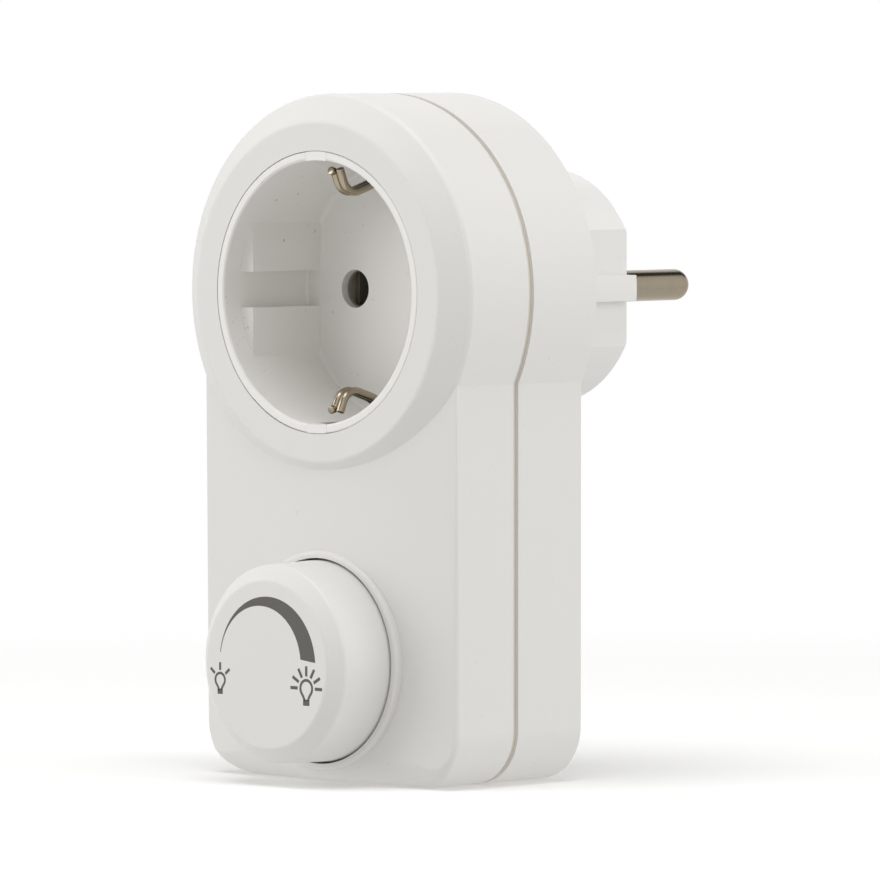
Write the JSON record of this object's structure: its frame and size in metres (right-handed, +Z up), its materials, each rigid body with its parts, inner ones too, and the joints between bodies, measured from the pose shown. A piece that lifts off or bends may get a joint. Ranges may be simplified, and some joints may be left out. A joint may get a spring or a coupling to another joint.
{
  "type": "plug-in dimmer",
  "caption": "White plug-in lamp dimmer: earthed plug at the back, recessed earthed socket in a round head and a turning knob on the lower body.",
  "frame": {"origin": "on the shared axis of plug and socket, in the plane of the housing's wall face", "axes": "+Y along the plug pins, away from the user and into the wall; -Y is the front; +X to the right seen from the front; +Z up, from the knob towards the socket"},
  "size_m": [0.0594, 0.0812, 0.1031],
  "materials": {
    "shell": "white, fine satin moulding",
    "insert": "white, smooth moulding",
    "knob": "white, satin moulding with a grey print",
    "nickel": "nickel-plated brass",
    "brass": "bare spring brass",
    "board": "green glass-fibre laminate",
    "epoxy": "black moulded epoxy or ferrite",
    "phenolic": "brown phenolic sheet",
    "shaft": "natural moulded nylon",
    "aluminium": "plain rolled sheet",
    "steel": "zinc-plated steel",
    "copper": "enamelled copper wire",
    "film": "yellow film-capacitor case",
    "ceramic": "dipped component coating",
    "resistor": "lacquered resistor body",
    "glass": "clear fuse glass",
    "wire": "brown insulated wire"
  },
  "bodies": {
    "housing": {"front_housing": "shell", "rear_housing": "shell", "plug_body": "insert", "socket_insert": "insert", "slot_cover_top": "insert", "slot_cover_bottom": "insert", "earth_bar": "nickel", "earth_pin_sleeve": "nickel", "plug_pin_left": "nickel", "plug_pin_right": "nickel", "socket_contact_left": "brass", "socket_contact_right": "brass", "circuit_board": "board", "potentiometer_case": "steel", "potentiometer_wafer": "phenolic", "triac": "epoxy", "heat_sink": "aluminium", "heat_sink_rivet": "aluminium", "choke_core": "epoxy", "choke_winding": "copper", "suppression_capacitor": "film", "timing_capacitor": "ceramic", "timing_resistor": "resistor", "trigger_diode": "ceramic", "fuse_tube": "glass", "fuse_caps": "nickel", "fuse_clips": "steel", "live_wire_in": "wire", "live_wire_out": "wire", "housing_screws": "steel"},
    "knob": {"dimmer_knob": "knob", "potentiometer_shaft": "shaft", "wiper_spring": "brass"},
    "clip_top": {"earth_clip_top": "nickel"},
    "clip_bottom": {"earth_clip_bottom": "nickel"}
  },
  "joints": [
    {"name": "knob_turn", "type": "hinge", "parent": "housing", "child": "knob", "pos_m": [0, -0.03, -0.0552], "axis": [0, 1, 0], "range_deg": [-135, 135]},
    {"name": "earth_clip_top_flex", "type": "hinge", "parent": "housing", "child": "clip_top", "pos_m": [0, -0.0087, 0.01855], "axis": [-1, 0, 0], "range_deg": [0, 6], "stiffness_Nm_per_rad": 1.1},
    {"name": "earth_clip_bottom_flex", "type": "hinge", "parent": "housing", "child": "clip_bottom", "pos_m": [0, -0.0087, -0.01855], "axis": [1, 0, 0], "range_deg": [0, 6], "stiffness_Nm_per_rad": 1.1}
  ]
}
